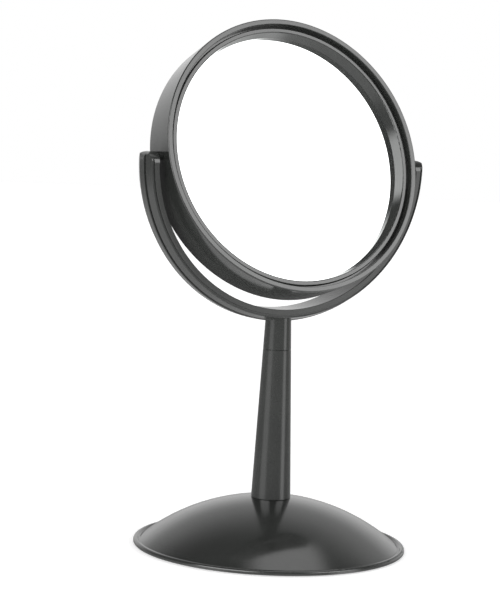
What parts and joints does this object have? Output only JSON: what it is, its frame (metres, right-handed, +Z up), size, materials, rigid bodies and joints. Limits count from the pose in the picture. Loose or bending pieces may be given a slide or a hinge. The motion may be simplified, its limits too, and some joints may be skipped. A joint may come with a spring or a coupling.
{
  "type": "countertop mirror",
  "caption": "Two-sided round mirror that tilts in a half-round yoke on a tapered stem and a weighted domed base, for a counter or dressing table.",
  "frame": {"origin": "centre of the base, on the surface it stands on", "axes": "+Z up along the stem, -Y towards the person looking in the mirror, +X to that person's right, along the mirror's pivot axis"},
  "size_m": [0.1696, 0.1476, 0.285],
  "materials": {
    "head_plastic": "semi-gloss moulded black",
    "bezel_plastic": "semi-gloss moulded black",
    "yoke_plastic": "semi-gloss moulded black",
    "stem_plastic": "satin moulded black",
    "base_plastic": "glossy moulded black",
    "cover_plastic": "fine matt texture",
    "silvered_glass": "silvered float glass",
    "spacer_foam": "white foam sheet",
    "washer_rubber": "matt black",
    "pad_rubber": "finely textured black",
    "plated_steel": "zinc plated",
    "insert_brass": "turned",
    "ballast_iron": "as cast"
  },
  "bodies": {
    "stand": {"yoke": "yoke_plastic", "neck_insert": "insert_brass", "stem_tube": "stem_plastic", "tie_rod": "plated_steel", "clamp_washer": "plated_steel", "lock_washer": "plated_steel", "tie_rod_nut": "plated_steel", "base_dome": "base_plastic", "ballast_disc": "ballast_iron", "bottom_cover": "cover_plastic", "cover_screws": "plated_steel", "non_slip_pad": "pad_rubber"},
    "mirror_head": {"ring_housing": "head_plastic", "front_bezel": "bezel_plastic", "rear_bezel": "bezel_plastic", "front_mirror_glass": "silvered_glass", "rear_mirror_glass": "silvered_glass", "foam_spacer": "spacer_foam", "pivot_pin_left": "plated_steel", "pivot_pin_right": "plated_steel", "friction_washer_left": "washer_rubber", "friction_washer_right": "washer_rubber"}
  },
  "joints": [
    {"name": "mirror_tilt", "type": "hinge", "parent": "stand", "child": "mirror_head", "pos_m": [0, 0, 0.21], "axis": [1, 0, 0], "continuous": true}
  ]
}
